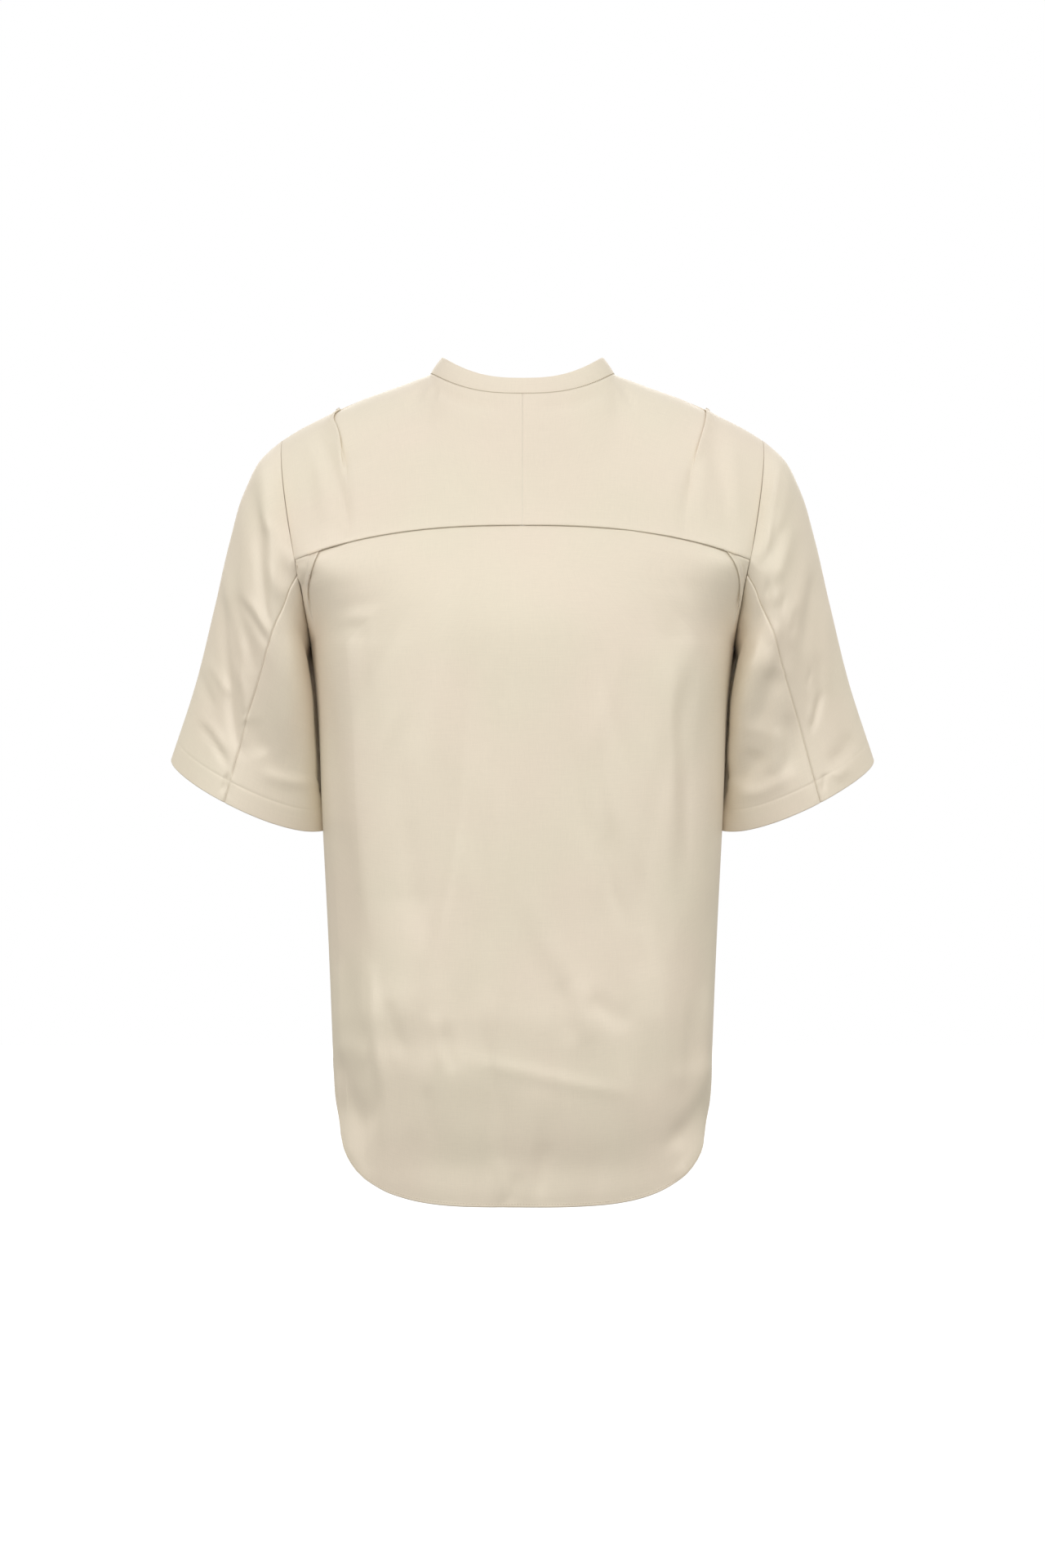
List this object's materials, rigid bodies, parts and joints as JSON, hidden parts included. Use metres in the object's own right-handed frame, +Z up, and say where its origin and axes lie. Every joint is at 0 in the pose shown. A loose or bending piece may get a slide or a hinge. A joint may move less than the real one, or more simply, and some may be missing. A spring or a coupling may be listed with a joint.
{
  "type": "tie-neck blouse",
  "caption": "Hollow, filled-out satin blouse with short sleeves, a back yoke, knife pleats, a standing neckband with ties and a shirt-tail hem.",
  "frame": {"origin": "midway between the two points where the shoulder seams meet the neckband, where the blouse hangs on its wearer's shoulders", "axes": "+Z up, -Y towards the front of the wearer, +X towards the wearer's left"},
  "size_m": [0.6084, 0.2584, 0.7209],
  "materials": {
    "satin": "champagne satin with a soft sheen and a fine woven grain"
  },
  "bodies": {
    "root": {"yoke_left": "satin", "yoke_right": "satin", "back_panel": "satin", "front_panel": "satin", "sleeve_upper_left": "satin", "sleeve_upper_right": "satin", "sleeve_under_left": "satin", "sleeve_under_right": "satin", "neckband": "satin", "tie_left": "satin", "tie_right": "satin"}
  },
  "joints": []
}
